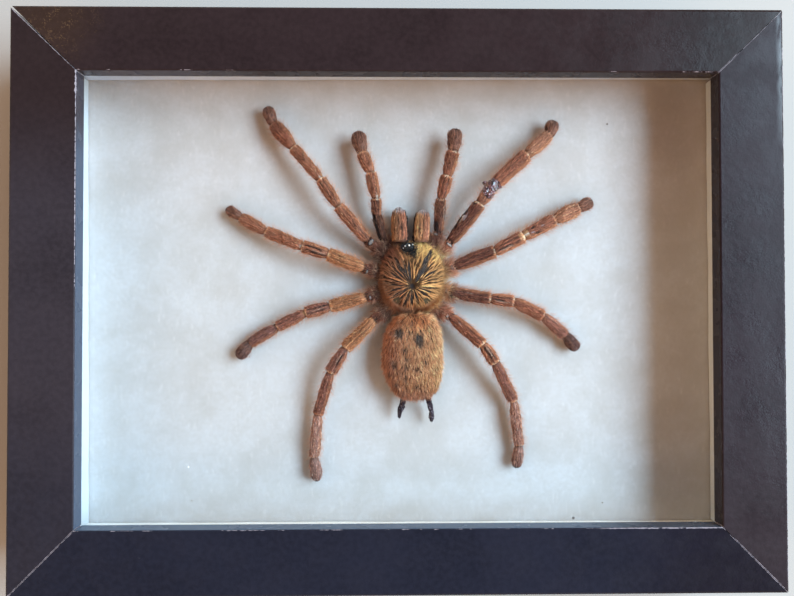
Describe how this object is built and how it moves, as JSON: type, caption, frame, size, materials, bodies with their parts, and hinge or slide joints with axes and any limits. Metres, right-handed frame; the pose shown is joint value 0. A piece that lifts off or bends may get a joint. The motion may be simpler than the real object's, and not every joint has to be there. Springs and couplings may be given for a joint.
{
  "type": "framed tarantula specimen",
  "caption": "Dried tarantula mounted on pale paper in a small dark box frame, with a glass front, white spacer strips, a hardboard back and a sawtooth hanger.",
  "frame": {"origin": "middle of the frame's back, at the surface it lies on", "axes": "+Z out of the glass, +Y towards the spider's head, +X to its right as seen through the glass"},
  "size_m": [0.2052, 0.1552, 0.028],
  "materials": {
    "frame_foil": "fibreboard wrapped in near-black foil, satin, faintly grained, worn pale along its edges",
    "clear_glass": "clear polished pane",
    "liner_white": "matte white card",
    "mottled_paper": "pale bluish mottled paper on board, matte",
    "hardboard": "brown pressed hardboard",
    "bright_steel": "bright rolled strip",
    "clear_glue": "set clear glue",
    "carapace_hair": "dried skin under golden radial hairs over black",
    "abdomen_hair": "dried skin under tan hairs with dark specks",
    "jaw_hair": "dried skin under combed orange-brown hairs",
    "leg_hair": "dried skin under short orange-brown hairs with pale rings at the joints",
    "spinneret_skin": "rough dark dried skin"
  },
  "bodies": {
    "root": {"rail_top": "frame_foil", "rail_bottom": "frame_foil", "rail_left": "frame_foil", "rail_right": "frame_foil", "glass": "clear_glass", "liner_top": "liner_white", "liner_bottom": "liner_white", "liner_left": "liner_white", "liner_right": "liner_white", "backing_board": "mottled_paper", "back_panel": "hardboard", "clip_1": "bright_steel", "clip_2": "bright_steel", "clip_3": "bright_steel", "clip_4": "bright_steel", "clip_5": "bright_steel", "clip_6": "bright_steel", "clip_7": "bright_steel", "clip_8": "bright_steel", "sawtooth_hanger": "bright_steel", "hanger_tack_left": "bright_steel", "hanger_tack_right": "bright_steel", "glue_pad": "clear_glue", "carapace": "carapace_hair", "abdomen": "abdomen_hair", "chelicera_left": "jaw_hair", "chelicera_right": "jaw_hair", "palp_left": "leg_hair", "palp_right": "leg_hair", "leg_1_left": "leg_hair", "leg_2_left": "leg_hair", "leg_3_left": "leg_hair", "leg_4_left": "leg_hair", "leg_1_right": "leg_hair", "leg_2_right": "leg_hair", "leg_3_right": "leg_hair", "leg_4_right": "leg_hair", "spinneret_left": "spinneret_skin", "spinneret_right": "spinneret_skin"}
  },
  "joints": []
}
